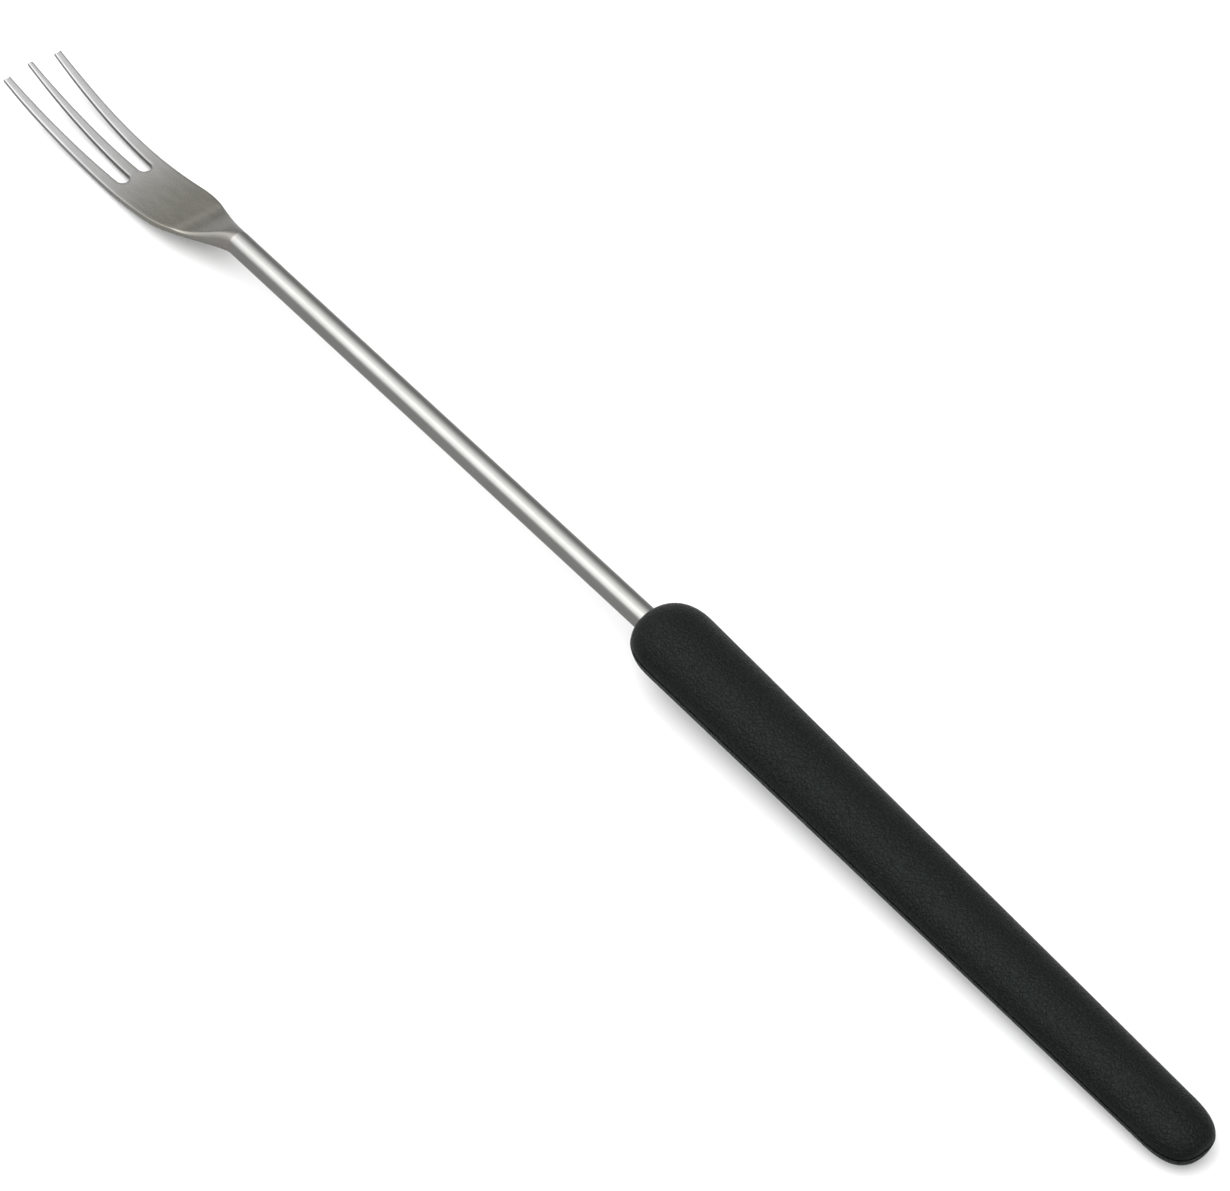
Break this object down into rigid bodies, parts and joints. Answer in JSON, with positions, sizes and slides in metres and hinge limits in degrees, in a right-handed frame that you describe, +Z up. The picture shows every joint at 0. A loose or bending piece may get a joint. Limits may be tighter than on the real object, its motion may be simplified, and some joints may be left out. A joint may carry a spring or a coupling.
{
  "type": "marshmallow roasting fork",
  "caption": "Long hand-held roasting fork: dished steel head with blunt tines, round steel shaft, and a drooping moulded grip in two halves.",
  "frame": {"origin": "middle of the bounding box's footprint, on the surface the fork lies on", "axes": "+X along the shaft towards the tines, +Z up and out of the dished face of the head, +Y across the fork"},
  "size_m": [0.4206, 0.0198, 0.0204],
  "materials": {
    "satin_steel": "stamped stainless steel, satin polished, rolled edges",
    "drawn_steel": "drawn stainless rod, satin",
    "pin_steel": "plain ground steel",
    "grip_plastic": "moulded black polypropylene with a fine leather grain"
  },
  "bodies": {
    "root": {"fork_head": "satin_steel", "shaft": "drawn_steel", "tang_pin": "pin_steel", "upper_shell": "grip_plastic", "lower_shell": "grip_plastic"}
  },
  "joints": []
}
